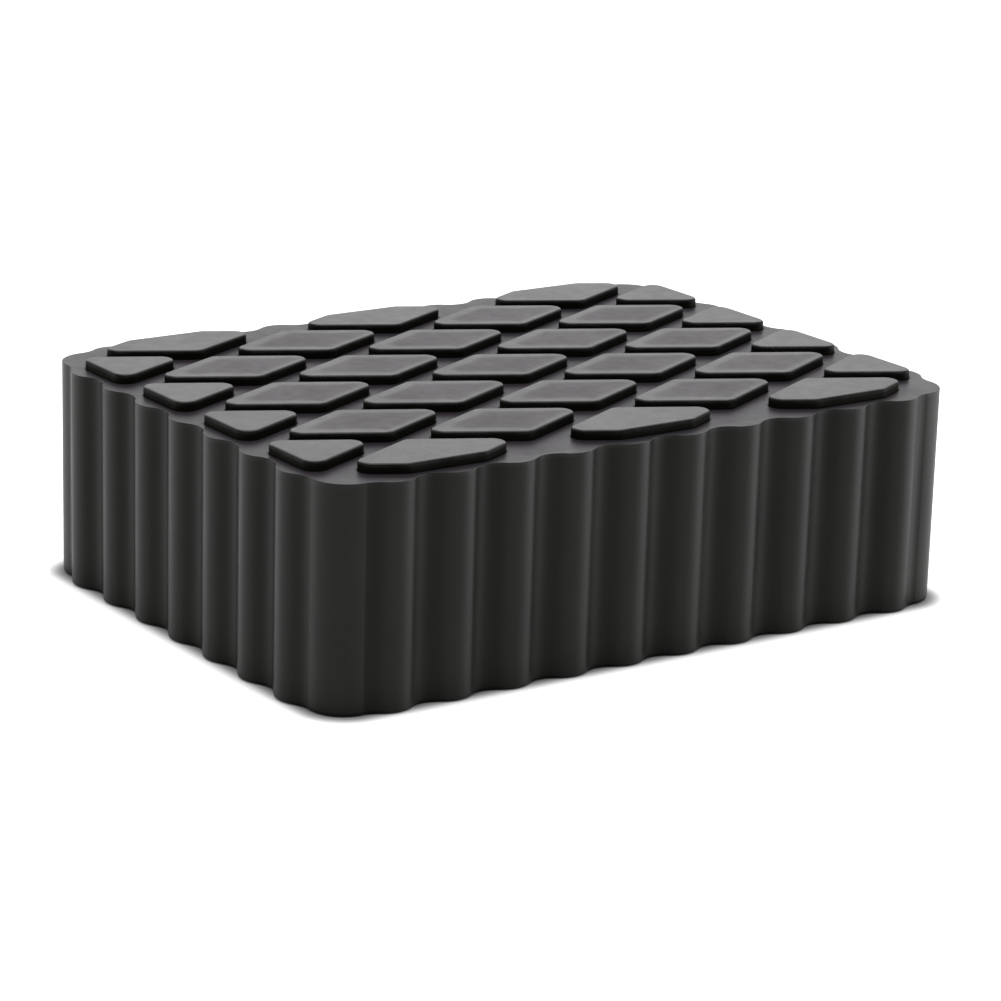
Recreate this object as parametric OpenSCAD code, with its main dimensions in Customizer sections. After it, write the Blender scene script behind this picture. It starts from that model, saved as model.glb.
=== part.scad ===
// Moulded rubber pad that goes between a jack or a lift arm and a vehicle.
// It is one solid block with fluted upright walls and a tread of raised
// diamonds, cut off along a rectangle that leaves a bare margin around it.
// Millimetres. Origin at the middle of the base, +X along the length, +Z up.

/* [Block] */
// Length over the flute crests
block_l = 160; // [80:1:240]
// Width over the flute crests
block_w = 120; // [80:1:240]
// Height of the block under the tread
block_h = 47; // [10:1:120]
// Plan radius of the upright corners
corner_r = 7.5; // [4:0.5:9]

/* [Flutes] */
// Distance from one flute crest to the next
flute_pitch = 14; // [9:0.5:24]
// Depth of the flutes from crest to valley
flute_depth = 2.4; // [1:0.1:3.6]

/* [Tread] */
// Height of the diamonds above the block
pad_h = 2; // [1:0.5:5]
// Distance from one diamond to the next in the same row
pad_pitch = 50.4; // [32:0.4:80]
// Width of the grooves between the diamonds
groove_w = 4.4; // [2:0.2:6]
// Plan radius of the corners of the diamonds
pad_corner_r = 2.8; // [0.6:0.2:3.6]
// Bare margin from the flute crests to the tread
tread_margin = 4; // [3.8:0.1:12]

/* [Hidden] */
rubber = [0.17, 0.17, 0.165];
$fn = 64;

// Where two curves would only touch, one stands this far past the other, so
// that they cross.
bite = 0.002;

// The walls wave about a middle line: arcs that curve out at the crests run
// into arcs of the same radius that curve in at the valleys.
wave_r = (pow(flute_pitch / 4, 2) + pow(flute_depth / 2, 2)) / flute_depth;

// Half sizes of the block at the bottom of the valleys, which is also the
// level of the plain stretches at the four corners.
core = [block_l / 2 - flute_depth, block_w / 2 - flute_depth];
flutes = [for (half = core) floor(2 * (half - corner_r) / flute_pitch)];

// Each wall is a turn about Z, the distance of its valley line from the
// middle, and its number of flutes.
walls = [for (k = [0 : 3]) [90 * k, core[1 - k % 2], flutes[k % 2]]];

// Diamonds are twice as long as they are wide, and each row is shifted by
// half a pitch against the next one.
side_angle = atan(0.5);
diamond = [1, 0.5] * (pad_pitch - groove_w / sin(side_angle)) / 2;
step = [pad_pitch / 2, pad_pitch / 4];
tread = [block_l / 2 - tread_margin, block_w / 2 - tread_margin];

// The corner arcs of a pad are centred on the corners of a smaller diamond
// in a smaller tread.
inner_diamond = diamond - [1, 0.5] * pad_corner_r / sin(side_angle);
inner_tread = tread - [1, 1] * pad_corner_r;
last = [for (i = [0, 1]) floor((tread[i] + diamond[i]) / step[i])];

// The part of a convex outline that lies within distance d along n.
function trimmed(pts, n, d) = [
    for (i = [0 : 1 : len(pts) - 1])
        let (
            a = pts[i],
            b = pts[(i + 1) % len(pts)],
            room_a = d - a * n,
            room_b = d - b * n
        )
        each concat(
            room_a >= 0 ? [a] : [],
            room_a * room_b < 0 ? [a + (b - a) * room_a / (room_a - room_b)] : []
        )
];

// The part of a convex outline inside a rectangle about the middle.
function within(pts, half) =
    let (
        right = trimmed(pts, [1, 0], half[0]),
        left = trimmed(right, [-1, 0], half[0]),
        back = trimmed(left, [0, 1], half[1])
    )
    trimmed(back, [0, -1], half[1]);

function outward(a, b) = [b[1] - a[1], a[0] - b[0]] / norm(b - a);

// A convex outline, run anticlockwise, grown by r all round, which turns
// each of its corners into an arc.
module grown(pts, r) {
    n = len(pts);
    side = [for (i = [0 : n - 1]) outward(pts[i], pts[(i + 1) % n])];
    polygon([
        for (i = [0 : n - 1])
            each [pts[i] + (r - bite) * side[(i + n - 1) % n], pts[i] + (r - bite) * side[i]]
    ]);
    for (p = pts)
        translate(p) circle(r);
}

function rectangle(half) =
    [for (s = [[-1, -1], [1, -1], [1, 1], [-1, 1]]) [s[0] * half[0], s[1] * half[1]]];

// A row of n wave circles along a wall, at height y over its valley line.
module wave_circles(n, y) {
    for (i = [0 : n - 1])
        translate([(i - (n - 1) / 2) * flute_pitch, y]) circle(wave_r);
}

module block_outline() {
    difference() {
        union() {
            grown(rectangle(core - [1, 1] * corner_r), corner_r);
            for (w = walls)
                rotate(w[0]) translate([-w[2] * flute_pitch / 2, 0])
                    square([w[2] * flute_pitch, w[1] + flute_depth / 2]);
        }
        for (w = walls)
            rotate(w[0]) translate([0, w[1]]) wave_circles(w[2] + 1, wave_r - 2 * bite);
    }
    for (w = walls)
        rotate(w[0]) translate([0, w[1]]) wave_circles(w[2], flute_depth - wave_r);
}

module fluted_block() {
    color(rubber) linear_extrude(block_h) block_outline();
}

// The pad whose middle is at c, as much of it as the tread has room for.
module tread_pad(c) {
    centres = within(
        [
            c - [inner_diamond[0], 0],
            c - [0, inner_diamond[1]],
            c + [inner_diamond[0], 0],
            c + [0, inner_diamond[1]]
        ],
        inner_tread
    );
    if (len(centres) > 2)
        color(rubber) linear_extrude(block_h + pad_h) grown(centres, pad_corner_r);
}

module tread_pads() {
    for (i = [-last[0] : last[0]], j = [-last[1] : last[1]])
        if ((i + j) % 2 == 0)
            tread_pad([i * step[0], j * step[1]]);
}

module rubber_block() {
    fluted_block();
    tread_pads();
}

rubber_block();
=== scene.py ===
"""A moulded rubber jack pad, dressed, with its floor, light and camera.

One closed mesh of the CAD solid's form and size stands for the solid. It adds
the small rounded edges, and it carries the values that the finish is made from.
"""
import math
from types import SimpleNamespace

import bpy
import numpy as np
from mathutils import Matrix, Vector
from mathutils.geometry import tessellate_polygon

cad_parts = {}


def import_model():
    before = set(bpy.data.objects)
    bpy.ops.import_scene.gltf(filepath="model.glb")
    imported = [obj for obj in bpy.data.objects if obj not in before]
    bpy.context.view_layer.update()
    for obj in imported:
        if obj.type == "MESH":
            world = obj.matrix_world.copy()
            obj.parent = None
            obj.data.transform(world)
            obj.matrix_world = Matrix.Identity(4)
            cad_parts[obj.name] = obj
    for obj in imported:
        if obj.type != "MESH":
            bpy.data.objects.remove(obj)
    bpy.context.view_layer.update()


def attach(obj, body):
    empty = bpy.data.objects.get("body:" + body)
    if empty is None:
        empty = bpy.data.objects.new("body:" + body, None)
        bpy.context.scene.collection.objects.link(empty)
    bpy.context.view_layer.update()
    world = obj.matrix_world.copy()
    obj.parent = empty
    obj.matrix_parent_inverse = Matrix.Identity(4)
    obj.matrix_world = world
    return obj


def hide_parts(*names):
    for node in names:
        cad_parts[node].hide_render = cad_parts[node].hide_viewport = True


MM = 0.001

# Sizes of the moulding in millimetres, as in the CAD.
LENGTH = 160.0
WIDTH = 120.0
BLOCK_H = 47.0
CORNER_R = 7.5
PITCH = 14.0
DEPTH = 2.4
PAD_H = 2.0
PAD_PITCH = 50.4
GROOVE = 4.4
PAD_R = 2.8
MARGIN = 4.0

# The angle between the sides and the length of a diamond, which is twice as
# long as it is wide.
SIDE_ANGLE = math.atan(0.5)

# Small radii of the moulded edges: at the base, at the upper rim, and at the
# foot and the top of a pad.
BASE_EDGE = 0.9
RIM_EDGE = 0.12
PAD_FOOT = 0.01
PAD_EDGE = 0.6

# How high the painted shade at the block's base reaches up the walls, how strong it
# is at the base, and how far the painted shade at the foot of a pad reaches over the
# deck. Both weaken the reflections, and at the pads' feet also take away the bloom,
# to stand in for the shade where the rubber meets the floor and the deck.
SHADE_HEIGHT = 8.0
BASE_SHADE = 0.35
CREVICE = 0.6

# Straight steps that stand for one flute, for a corner of the block, and for
# the small quarter rounds, and the widest step in degrees round a pad's corner.
FLUTE_STEPS = 24
CORNER_STEPS = 18
EDGE_STEPS = 5
PAD_STEP = 8.0

# The photograph's viewpoint: angles in degrees, lengths in millimetres, about
# the middle of the tread.
FRAME_PX = 1001
FOCAL_PX = 3562.61
AZIMUTH = -34.799
ELEVATION = 16.370
ROLL = 1.613
OFFSET = (0.031, 29.116, -759.392)
SENSOR = 36.0

# The dull panel of a whole pad fades in over PANEL_EDGE, in millimetres from
# the pad's edge, and PANEL_LEAN moves it towards the side that it points to.
PANEL_EDGE = (1.5, 3.4)
PANEL_LEAN = (1.8, -0.9)
PANEL_RAGGED = 0.1

# Colours of the rubber: bare, at its darkest and its palest, then the bloom on
# level faces, the panels and the rubbed edges, each with how much of it shows.
BLACK = ((0.0038, 0.0038, 0.003), (0.0058, 0.0058, 0.0046))
BLOOM = (0.0315, 0.024, 0.034)
BLOOM_SHARE = 0.5
PANEL = (0.0215, 0.0125, 0.0195)
PANEL_SHARE = 0.8
RUBBED = (0.022, 0.0215, 0.021)
RUBBED_SHARE = 0.5

# How rough the rubber is, and how much the panels, the rubbed edges and the
# patterns change that.
PAD_ROUGHNESS = 0.32
DECK_ROUGHNESS = 0.4
WALL_ROUGHNESS = 0.4
PANEL_DULL = 0.1
RUBBED_DULL = -0.04
MOTTLE_DULL = 0.012
CLOUD_DULL = 0.02
STREAK_DULL = 0.02

# How strong the reflections are on each kind of surface. HOLLOW_LEVEL, in the flutes'
# hollows, and CREVICE_LEVEL, at the pads' feet and the block's base, are lower to
# paint shade there.
IOR = 1.38
PAD_LEVEL = 0.505
PANEL_LEVEL = 0.41
DECK_LEVEL = 0.5
WALL_LEVEL = 0.305
HOLLOW_LEVEL = 0.185
SIDE_LEVEL = 0.04
CREVICE_LEVEL = 0.02

# Width in millimetres of the features of each pattern. The streaks are
# stretched upright by the inverse of STREAK_RISE.
GRAIN = 0.45
MOTTLE = 4.0
CLOUD = 22.0
STREAK = 2.6
STREAK_RISE = 0.04

# Depth in millimetres of the relief that three of the patterns leave.
GRAIN_DEPTH = 0.0016
MOTTLE_DEPTH = 0.012
STREAK_DEPTH = 0.02

# Middle range of a noise, in which most of its values lie.
USUAL = (0.3, 0.7)

# Strength of the studio before and behind the object, how it rises from the
# horizon upward, and how much of it is left at the top.
WORLD_FRONT = 0.3
WORLD_BACK = 1.2
WORLD_RISE = (0.75, 1.25)
WORLD_TOP = 0.2

# Half the width of the floor in metres.
FLOOR_REACH = 4.0

# Grey of the floor in the painted contact shadow, which ends this far in millimetres
# from the bottom of the flutes, and grey of the rest. The painted shadow also takes
# away the floor's glow.
CONTACT = 5.0
FLOOR_GREY = (0.3, 0.9)

# What the floor adds to the light on it where it is seen, as white paper, from
# the first of these distances in metres to the second.
FLOOR_FAR = (0.5, 2.5)
FLOOR_GLOW = (0.28, 0.8)

# How much stronger that is to the camera than in a reflection.
FLOOR_SEEN = 1.7

# A large light overhead, and two strips that stay below the tread's level, so
# that its level faces don't mirror them: place, width and height in metres, and
# power in watts.
LAMPS = {
    "overhead": ((-0.1, -0.15, 2.0), 2.0, 2.0, 38.0),
    "right": ((1.1, -0.6, 0.024), 0.8, 0.04, 7.4),
    "left": ((-1.0, 0.9, 0.024), 0.8, 0.04, 3.1),
}


def wave(s, count):
    """Height over the valley line, and its slope, at s along a wall."""
    radius = ((PITCH / 4) ** 2 + (DEPTH / 2) ** 2) / DEPTH
    m = (s + count * PITCH / 2) % PITCH - PITCH / 2
    if abs(m) <= PITCH / 4:
        run = math.sqrt(radius**2 - m**2)
        return DEPTH - radius + run, -m / run
    e = PITCH / 2 - abs(m)
    run = math.sqrt(radius**2 - e**2)
    return radius - run, -math.copysign(e / run, m)


def wall(level, half, count):
    """One wall and the corner after it, seen with its outside up."""
    points = []
    for i in range(count * FLUTE_STEPS + 1):
        s = (count / 2 - i / FLUTE_STEPS) * PITCH
        height, slope = wave(s, count)
        size = math.hypot(slope, 1.0)
        points.append((s, level + height, -slope / size, 1.0 / size, 1.0 - height / DEPTH))
    for i in range(CORNER_STEPS + 1):
        turn = math.radians(90 + 90 * i / CORNER_STEPS)
        c, n = math.cos(turn), math.sin(turn)
        points.append((CORNER_R - half + CORNER_R * c, level - CORNER_R + CORNER_R * n, c, n, 0.0))
    return points


def block_outline():
    """The fluted outline, anticlockwise: points, outward normals and hollows."""
    core = (LENGTH / 2 - DEPTH, WIDTH / 2 - DEPTH)
    rows = []
    for k in range(4):
        half, level = core[k % 2], core[1 - k % 2]
        count = int(2 * (half - CORNER_R) / PITCH + 0.001)
        c, s = round(math.cos(k * math.pi / 2)), round(math.sin(k * math.pi / 2))
        for x, y, u, v, hollow in wall(level, half, count):
            rows.append((c * x - s * y, s * x + c * y, c * u - s * v, s * u + c * v, hollow))
    rows = np.array(rows)
    return rows[:, :2], rows[:, 2:4], rows[:, 4]


def trimmed(points, normal, reach):
    """The part of a convex outline that lies within reach along normal."""
    kept = []
    for a, b in zip(points, points[1:] + points[:1]):
        room_a, room_b = reach - a.dot(normal), reach - b.dot(normal)
        if room_a >= 0:
            kept.append(a)
        if room_a * room_b < 0:
            kept.append(a + (b - a) * room_a / (room_a - room_b))
    return kept


def arc_centres(middle):
    """Where the corner arcs of the pad round this point are centred."""
    half_l = PAD_PITCH / 2 - (GROOVE / 2 + PAD_R) / math.sin(SIDE_ANGLE)
    half_w = half_l / 2
    tips = ((-half_l, 0), (0, -half_w), (half_l, 0), (0, half_w))
    centres = [middle + Vector(tip) for tip in tips]
    reach_x = LENGTH / 2 - MARGIN - PAD_R
    reach_y = WIDTH / 2 - MARGIN - PAD_R
    for side in (1, -1):
        centres = trimmed(centres, Vector((side, 0)), reach_x)
    for side in (1, -1):
        centres = trimmed(centres, Vector((0, side)), reach_y)
    return centres


def pad_outline(centres):
    """A pad's outline, anticlockwise: points, outward normals and hollows."""
    points, normals = [], []
    count = len(centres)
    for i, centre in enumerate(centres):
        before = centre - centres[i - 1]
        after = centres[(i + 1) % count] - centre
        start = math.atan2(-before.x, before.y)
        turn = before.angle(after)
        steps = max(3, math.ceil(math.degrees(turn) / PAD_STEP))
        for j in range(steps + 1):
            a = start + turn * j / steps
            normal = Vector((math.cos(a), math.sin(a)))
            points.append(centre + PAD_R * normal)
            normals.append(normal)
    return np.array(points), np.array(normals), np.zeros(len(points))


def pads():
    """The middle and the arc centres of every pad of the tread."""
    found = []
    last_i = int(LENGTH / PAD_PITCH) + 1
    last_j = int(2 * WIDTH / PAD_PITCH) + 1
    for i in range(-last_i, last_i + 1):
        for j in range(-last_j, last_j + 1):
            if (i + j) % 2 == 0:
                middle = Vector((i * PAD_PITCH / 2, j * PAD_PITCH / 4))
                centres = arc_centres(middle)
                if len(centres) > 2:
                    found.append((middle, centres))
    return found


def is_whole(middle, centres):
    """Whether the edge of the tread leaves this pad uncut."""
    across = max(abs(c.x - middle.x) for c in centres)
    along = max(abs(c.y - middle.y) for c in centres)
    return len(centres) == 4 and abs(across - 2 * along) < 0.001


def quarter(inset, z, radius, start, end, wear_and_shade):
    """A quarter round as (inset, height, tilt, wear) about a centre; wear below zero is painted
    shade.
    """
    rows = []
    for i in range(EDGE_STEPS + 1):
        tilt = math.radians(start + (end - start) * i / EDGE_STEPS)
        rows.append((inset - radius * math.cos(tilt), z + radius * math.sin(tilt), tilt, wear_and_shade))
    return rows


class Moulding:
    """Points with their normals and finish, and the faces between them."""

    def __init__(self):
        self.points = []
        self.normals = []
        self.wear_and_shade = []
        self.hollow = []
        self.inside = []
        self.faces = []

    def point(self, place, normal, wear_and_shade=0.0, hollow=0.0, inside=0.0):
        """Adds a point and returns its number."""
        self.points.append(place)
        self.normals.append(normal)
        self.wear_and_shade.append(wear_and_shade)
        self.hollow.append(hollow)
        self.inside.append(inside)
        return len(self.points) - 1

    def ring(self, outline, inset, z, tilt, wear_and_shade):
        """One turn round an outline, as the numbers of its points."""
        level, rise = math.cos(tilt), math.sin(tilt)
        return [
            self.point((x - u * inset, y - v * inset, z), (u * level, v * level, rise), wear_and_shade, hollow)
            for (x, y), (u, v), hollow in zip(*outline)
        ]

    def skin(self, outline, profile):
        """The wall that a profile makes round an outline: its first and last ring."""
        rings = [self.ring(outline, *row) for row in profile]
        for low, high in zip(rings, rings[1:]):
            for i in range(len(low)):
                j = (i + 1) % len(low)
                self.faces.append((low[i], low[j], high[j], high[i]))
        return rings[0], rings[-1]

    def panel(self, ring, normals, middle, depth):
        """The top of a whole pad, with the depth inside its edges at each point."""
        for n, (u, v) in zip(ring, normals):
            self.inside[n] = max(0.0, u * PANEL_LEAN[0] + v * PANEL_LEAN[1])
        peak = self.point(middle, (0.0, 0.0, 1.0), inside=depth)
        for a, b in zip(ring, ring[1:] + ring[:1]):
            self.faces.append((a, b, peak))

    def deck(self, rim, feet):
        """The flat top of the block between its rim and the feet of the pads."""
        loops = [rim] + feet
        numbers = [n for loop in loops for n in loop]
        corners = [[Vector(self.points[n]) for n in loop] for loop in loops]
        for triangle in tessellate_polygon(corners):
            a, b, c = (numbers[t] for t in triangle)
            p, q, r = (self.points[n] for n in (a, b, c))
            area = (q[0] - p[0]) * (r[1] - p[1]) - (r[0] - p[0]) * (q[1] - p[1])
            self.faces.append((a, b, c) if area > 0 else (a, c, b))

    def mesh(self, name):
        """The finished mesh, in metres, with exact normals."""
        mesh = bpy.data.meshes.new(name)
        mesh.from_pydata([tuple(v * MM for v in p) for p in self.points], [], self.faces)
        mesh.update()
        mesh.shade_smooth()
        mesh.normals_split_custom_set_from_vertices(self.normals)
        # The wear values also carry the painted shade, as values below zero.
        finish = {"edge_wear_and_painted_shade": self.wear_and_shade, "hollow": self.hollow, "inside": self.inside}
        for key, values in finish.items():
            mesh.attributes.new(key, "FLOAT", "POINT").data.foreach_set("value", values)
        return mesh


def block_profile():
    """The block's wall from its base to its rim, with painted shade at the base as wear below zero.
    """
    # Painted shade at the base, fading out up the wall to the next row.
    rows = quarter(BASE_EDGE, BASE_EDGE, BASE_EDGE, -90, 0, -BASE_SHADE)
    rows.append((0.0, SHADE_HEIGHT, 0.0, 0.0))
    rows.append((0.0, BLOCK_H - RIM_EDGE - 1.0, 0.0, 0.0))
    rows += quarter(RIM_EDGE, BLOCK_H - RIM_EDGE, RIM_EDGE, 0, 90, 1.0)
    return rows


def pad_profile():
    """A pad's wall from the deck round it to its top, with painted shade at its foot as wear below
    zero.
    """
    top = BLOCK_H + PAD_H
    # Painted shade, strongest at the pad's foot, fading out over the deck round it and up its side.
    rows = [(-CREVICE, BLOCK_H, math.pi / 2, 0.0)]
    for degrees in (90, 60, 30, 0):
        tilt = math.radians(degrees)
        inset = PAD_FOOT * (math.cos(tilt) - 1.0)
        rows.append((inset, BLOCK_H + PAD_FOOT * (1.0 - math.sin(tilt)), tilt, -1.0))
    rows.append((0.0, top - PAD_EDGE - 0.3, 0.0, 0.0))
    rows += quarter(PAD_EDGE, top - PAD_EDGE, PAD_EDGE, 0, 90, 1.0)
    return rows


def rubber_pad():
    """The whole moulding as one closed mesh."""
    form = Moulding()
    base, rim = form.skin(block_outline(), block_profile())
    form.faces.append(tuple(reversed(base)))
    feet = []
    depth = (PAD_PITCH / 2) * math.sin(SIDE_ANGLE) - GROOVE / 2
    for middle, centres in pads():
        outline = pad_outline(centres)
        foot, top = form.skin(outline, pad_profile())
        feet.append(foot)
        if is_whole(middle, centres):
            form.panel(top, outline[1], (middle.x, middle.y, BLOCK_H + PAD_H), depth)
        else:
            form.faces.append(tuple(top))
    form.deck(rim, feet)
    return bpy.data.objects.new("rubber_pad", form.mesh("rubber_pad"))


def node(tree, kind, inputs=None, **settings):
    """A shader node with its settings, and inputs that are values or sockets."""
    made = tree.nodes.new(kind)
    for key, value in settings.items():
        setattr(made, key, value)
    for key, value in (inputs or {}).items():
        if isinstance(value, bpy.types.NodeSocket):
            tree.links.new(value, made.inputs[key])
        else:
            made.inputs[key].default_value = value
    return made


def noise(tree, places, size, detail, stretch=(1.0, 1.0, 1.0)):
    """A noise whose features are about this many millimetres wide."""
    scaled = node(tree, "ShaderNodeMapping", {"Vector": places, "Scale": stretch})
    inputs = {"Vector": scaled.outputs["Vector"], "Scale": 1.0 / (size * MM), "Detail": detail}
    return node(tree, "ShaderNodeTexNoise", inputs).outputs["Fac"]


def remap(tree, value, low, high, start, end):
    """Runs smoothly from start to end while the value runs from low to high."""
    inputs = {"Value": value, "From Min": low, "From Max": high, "To Min": start, "To Max": end}
    kind = "ShaderNodeMapRange"
    return node(tree, kind, inputs, interpolation_type="SMOOTHSTEP").outputs["Result"]


def sway(tree, value, reach):
    """Runs from -reach to reach over the usual range of a noise."""
    return remap(tree, value, *USUAL, -reach, reach)


def sums(tree, operation, *values):
    """Joins values one after the other, such as to their sum or product."""
    total = values[0]
    for value in values[1:]:
        total = node(tree, "ShaderNodeMath", {0: total, 1: value}, operation=operation).outputs[0]
    return total


def blend(tree, share, start, end):
    """A number between two others."""
    return node(tree, "ShaderNodeMix", {"Factor": share, 2: start, 3: end}).outputs[0]


def tint(tree, share, start, end):
    """A colour between two others."""
    made = node(tree, "ShaderNodeMix", {"Factor": share}, data_type="RGBA")
    for socket, colour in ((made.inputs[6], start), (made.inputs[7], end)):
        if isinstance(colour, bpy.types.NodeSocket):
            tree.links.new(colour, socket)
        else:
            socket.default_value = (*colour, 1.0)
    return made.outputs[2]


def attribute(tree, name):
    """A value that the mesh carries at its points."""
    return node(tree, "ShaderNodeAttribute", attribute_name=name).outputs["Fac"]


def upright_part(tree, vector):
    """The Z of a vector."""
    return node(tree, "ShaderNodeSeparateXYZ", {0: vector}).outputs["Z"]


def surface(tree):
    """The patterns of the rubber, and which kind of surface each place is."""
    coords = node(tree, "ShaderNodeTexCoord").outputs
    places = coords["Object"]
    at = SimpleNamespace()
    at.grain = noise(tree, places, GRAIN, 3.0)
    at.mottle = noise(tree, places, MOTTLE, 4.0)
    at.cloud = noise(tree, places, CLOUD, 2.0)
    at.streak = noise(tree, places, STREAK, 2.0, (1.0, 1.0, STREAK_RISE))

    ragged = sums(tree, "ADD", attribute(tree, "inside"), sway(tree, at.mottle, PANEL_RAGGED))
    at.panel = remap(tree, ragged, *PANEL_EDGE, 0.0, 1.0)
    at.tops = remap(tree, upright_part(tree, coords["Normal"]), 0.6, 0.95, 0.0, 1.0)
    height = upright_part(tree, places)
    at.raised = remap(tree, height, BLOCK_H * MM, (BLOCK_H + 0.2) * MM, 0.0, 1.0)
    at.hollow = attribute(tree, "hollow")

    # Above zero this is wear on the edges, below zero painted shade at the pads' feet and the block's
    # base.
    wear_and_shade = attribute(tree, "edge_wear_and_painted_shade")
    patches = remap(tree, at.mottle, 0.4, 0.62, 0.3, 1.0)
    at.rubbed = sums(tree, "MULTIPLY", remap(tree, wear_and_shade, 0.0, 1.0, 0.0, 1.0), patches)
    # One outside the painted shade, falling towards zero in it.
    at.clean = remap(tree, wear_and_shade, -1.0, 0.0, 0.0, 1.0)
    return at


def rubber_colour(tree, at):
    """Black, with the bloom, the panels and the rubbed edges one over the other; the bloom is left
    off in the painted shade at the pads' feet.
    """
    black = tint(tree, remap(tree, at.cloud, *USUAL, 0.0, 1.0), *BLACK)
    bloomed = tint(tree, sums(tree, "MULTIPLY", at.tops, at.clean, BLOOM_SHARE), black, BLOOM)
    panelled = tint(tree, sums(tree, "MULTIPLY", at.panel, PANEL_SHARE), bloomed, PANEL)
    return tint(tree, sums(tree, "MULTIPLY", at.rubbed, RUBBED_SHARE), panelled, RUBBED)


def rubber_roughness(tree, at):
    """Satin, duller on the panels and a little shinier where it is rubbed."""
    level = blend(tree, at.raised, DECK_ROUGHNESS, PAD_ROUGHNESS)
    return sums(
        tree,
        "ADD",
        blend(tree, at.tops, WALL_ROUGHNESS, level),
        sums(tree, "MULTIPLY", at.panel, PANEL_DULL),
        sway(tree, at.mottle, MOTTLE_DULL),
        sway(tree, at.cloud, CLOUD_DULL),
        sway(tree, at.streak, STREAK_DULL),
        sums(tree, "MULTIPLY", at.rubbed, RUBBED_DULL),
    )


def rubber_level(tree, at):
    """Strength of the reflections: weak on the walls, weaker in the flutes' hollows, and weakest in
    the painted shade at the pads' feet and the block's base.
    """
    # Painted shade: the reflections weaken towards the bottom of each flute's hollow.
    flute = remap(tree, at.hollow, 0.1, 1.0, WALL_LEVEL, HOLLOW_LEVEL)
    upright = blend(tree, at.raised, flute, SIDE_LEVEL)
    pad = blend(tree, at.panel, PAD_LEVEL, PANEL_LEVEL)
    flat = blend(tree, at.raised, DECK_LEVEL, pad)
    return blend(tree, at.clean, CREVICE_LEVEL, blend(tree, at.tops, upright, flat))


def rubber_relief(tree, at):
    """The normal that the grain, the mottle and the streaks leave."""
    reliefs = ((at.grain, GRAIN_DEPTH), (at.mottle, MOTTLE_DEPTH), (at.streak, STREAK_DEPTH))
    below = {}
    for height, depth in reliefs:
        inputs = {"Height": height, "Strength": 1.0, "Distance": depth * MM, **below}
        below = {"Normal": node(tree, "ShaderNodeBump", inputs).outputs["Normal"]}
    return below["Normal"]


def rubber():
    """Black moulded rubber: satin all over, with a duller panel on each whole pad."""
    material = bpy.data.materials.new("black_rubber")
    material.use_nodes = True
    tree = material.node_tree
    at = surface(tree)
    inputs = tree.nodes["Principled BSDF"].inputs
    inputs["IOR"].default_value = IOR
    tree.links.new(rubber_colour(tree, at), inputs["Base Color"])
    tree.links.new(rubber_roughness(tree, at), inputs["Roughness"])
    tree.links.new(rubber_level(tree, at), inputs["Specular IOR Level"])
    tree.links.new(rubber_relief(tree, at), inputs["Normal"])
    return material


def outside(tree):
    """Metres from the block, without its flutes, to a place on the floor."""
    inset = DEPTH + CORNER_R
    half = ((LENGTH / 2 - inset) * MM, (WIDTH / 2 - inset) * MM, 0.0)
    kind = "ShaderNodeVectorMath"
    places = node(tree, "ShaderNodeTexCoord").outputs["Object"]
    folded = node(tree, kind, {0: places}, operation="ABSOLUTE").outputs["Vector"]
    shifted = node(tree, kind, {0: folded, 1: half}, operation="SUBTRACT").outputs["Vector"]
    beyond = node(tree, kind, {0: shifted, 1: (0.0, 0.0, 0.0)}, operation="MAXIMUM").outputs["Vector"]
    reach = node(tree, kind, {0: beyond}, operation="LENGTH").outputs["Value"]
    return sums(tree, "SUBTRACT", reach, CORNER_R * MM)


def paper():
    """Plain white with the glow of a white studio, and a contact shadow painted greyer and without
    glow at the block's foot.
    """
    material = bpy.data.materials.new("floor")
    material.use_nodes = True
    tree = material.node_tree
    inputs = tree.nodes["Principled BSDF"].inputs
    inputs["Roughness"].default_value = 0.9
    inputs["Specular IOR Level"].default_value = 0.0
    inputs["Emission Color"].default_value = (1.0, 1.0, 1.0, 1.0)
    away = outside(tree)
    # Painted contact shadow: zero at the bottom of the flutes, one from CONTACT away.
    past_painted_shadow = remap(tree, away, 0.0, CONTACT * MM, 0.0, 1.0)
    painted_shadow_grey, plain = ((grey, grey, grey) for grey in FLOOR_GREY)
    tree.links.new(tint(tree, past_painted_shadow, painted_shadow_grey, plain), inputs["Base Color"])
    ray = node(tree, "ShaderNodeLightPath").outputs
    straight = sums(tree, "MULTIPLY", ray["Is Camera Ray"], FLOOR_SEEN)
    seen = sums(tree, "ADD", straight, ray["Is Glossy Ray"], ray["Is Transmission Ray"])
    glow = sums(tree, "MULTIPLY", seen, past_painted_shadow, remap(tree, away, *FLOOR_FAR, *FLOOR_GLOW))
    tree.links.new(glow, inputs["Emission Strength"])
    return material


def floor():
    """A plain white floor, wide enough to fill the picture."""
    mesh = bpy.data.meshes.new("floor")
    signs = ((-1, -1), (1, -1), (1, 1), (-1, 1))
    corners = [(FLOOR_REACH * x, FLOOR_REACH * y, 0.0) for x, y in signs]
    mesh.from_pydata(corners, [], [(0, 1, 2, 3)])
    mesh.materials.append(paper())
    plane = bpy.data.objects.new("floor", mesh)
    bpy.context.scene.collection.objects.link(plane)


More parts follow.
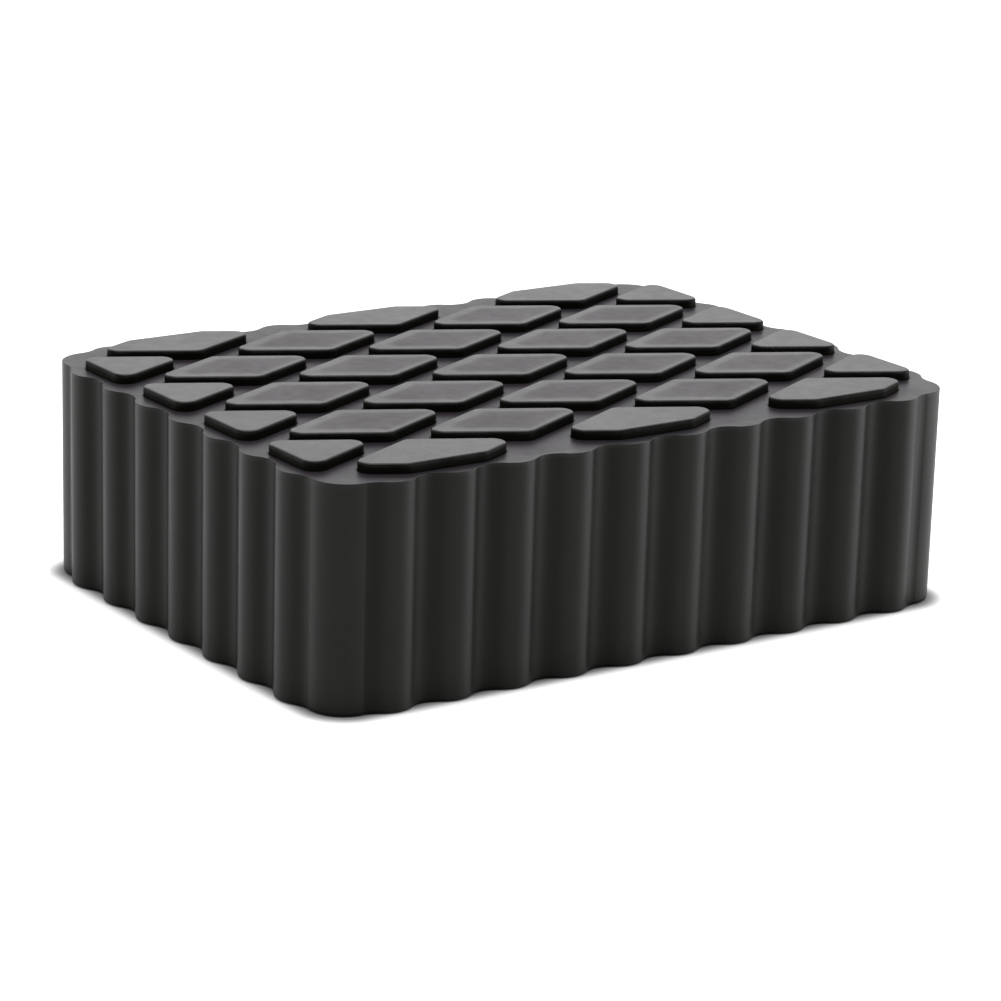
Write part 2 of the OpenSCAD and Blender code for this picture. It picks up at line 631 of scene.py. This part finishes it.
def world():
    """A soft studio, brighter behind the object than in front of it, seen as white."""
    scene = bpy.context.scene
    scene.world = bpy.data.worlds.new("studio")
    scene.world.use_nodes = True
    tree = scene.world.node_tree
    away = math.radians(AZIMUTH)
    towards = node(tree, "ShaderNodeTexCoord").outputs["Generated"]
    inputs = {0: towards, 1: (-math.sin(away), math.cos(away), 0.35)}
    behind = node(tree, "ShaderNodeVectorMath", inputs, operation="DOT_PRODUCT").outputs["Value"]
    upright = upright_part(tree, towards)
    round_about = remap(tree, behind, -0.9, 0.9, WORLD_FRONT, WORLD_BACK)
    rise = remap(tree, upright, -0.05, 0.45, *WORLD_RISE)
    fall = remap(tree, upright, 0.4, 1.0, 1.0, WORLD_TOP)
    lit = sums(tree, "MULTIPLY", round_about, rise, fall)
    straight = node(tree, "ShaderNodeLightPath").outputs["Is Camera Ray"]
    back = tree.nodes["Background"].inputs
    back["Color"].default_value = (1.0, 1.0, 1.0, 1.0)
    tree.links.new(blend(tree, straight, lit, 1.0), back["Strength"])


def lamp(name, place, width, height, watts):
    """A soft rectangular light that faces the middle of the object, itself unseen."""
    data = bpy.data.lights.new(name, "AREA")
    data.shape = "RECTANGLE"
    data.size = width
    data.size_y = height
    data.energy = watts
    light = bpy.data.objects.new(name, data)
    light.location = place
    towards = Vector((0, 0, BLOCK_H / 2 * MM)) - light.location
    light.rotation_euler = towards.to_track_quat("-Z", "Y").to_euler()
    light.visible_camera = False
    bpy.context.scene.collection.objects.link(light)


def camera():
    """The camera at the photograph's viewpoint."""
    az, el, roll = (math.radians(v) for v in (AZIMUTH, ELEVATION, ROLL))
    back = Vector((math.sin(az) * math.cos(el), -math.cos(az) * math.cos(el), math.sin(el)))
    right = Vector((math.cos(az), math.sin(az), 0))
    up = back.cross(right)
    across = math.cos(roll) * right + math.sin(roll) * up
    above = math.cos(roll) * up - math.sin(roll) * right
    place = Vector((0, 0, BLOCK_H + PAD_H))
    place -= OFFSET[0] * across + OFFSET[1] * above + OFFSET[2] * back
    data = bpy.data.cameras.new("camera")
    data.sensor_width = SENSOR
    data.lens = FOCAL_PX / FRAME_PX * SENSOR
    data.clip_start = 0.01
    data.clip_end = 50.0
    eye = bpy.data.objects.new("camera", data)
    turn = Matrix((across, above, back)).transposed().to_4x4()
    eye.matrix_world = Matrix.Translation(place * MM) @ turn
    bpy.context.scene.collection.objects.link(eye)
    bpy.context.scene.camera = eye


def build():
    """Loads the frame, and puts the pad, the floor, the light and the camera in it."""
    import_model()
    pad = rubber_pad()
    bpy.context.scene.collection.objects.link(pad)
    pad.data.materials.append(rubber())
    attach(pad, "root")
    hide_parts("rubber_block")
    floor()
    world()
    for name, settings in LAMPS.items():
        lamp(name, *settings)
    camera()
    bpy.context.scene.view_settings.view_transform = "Standard"


build()
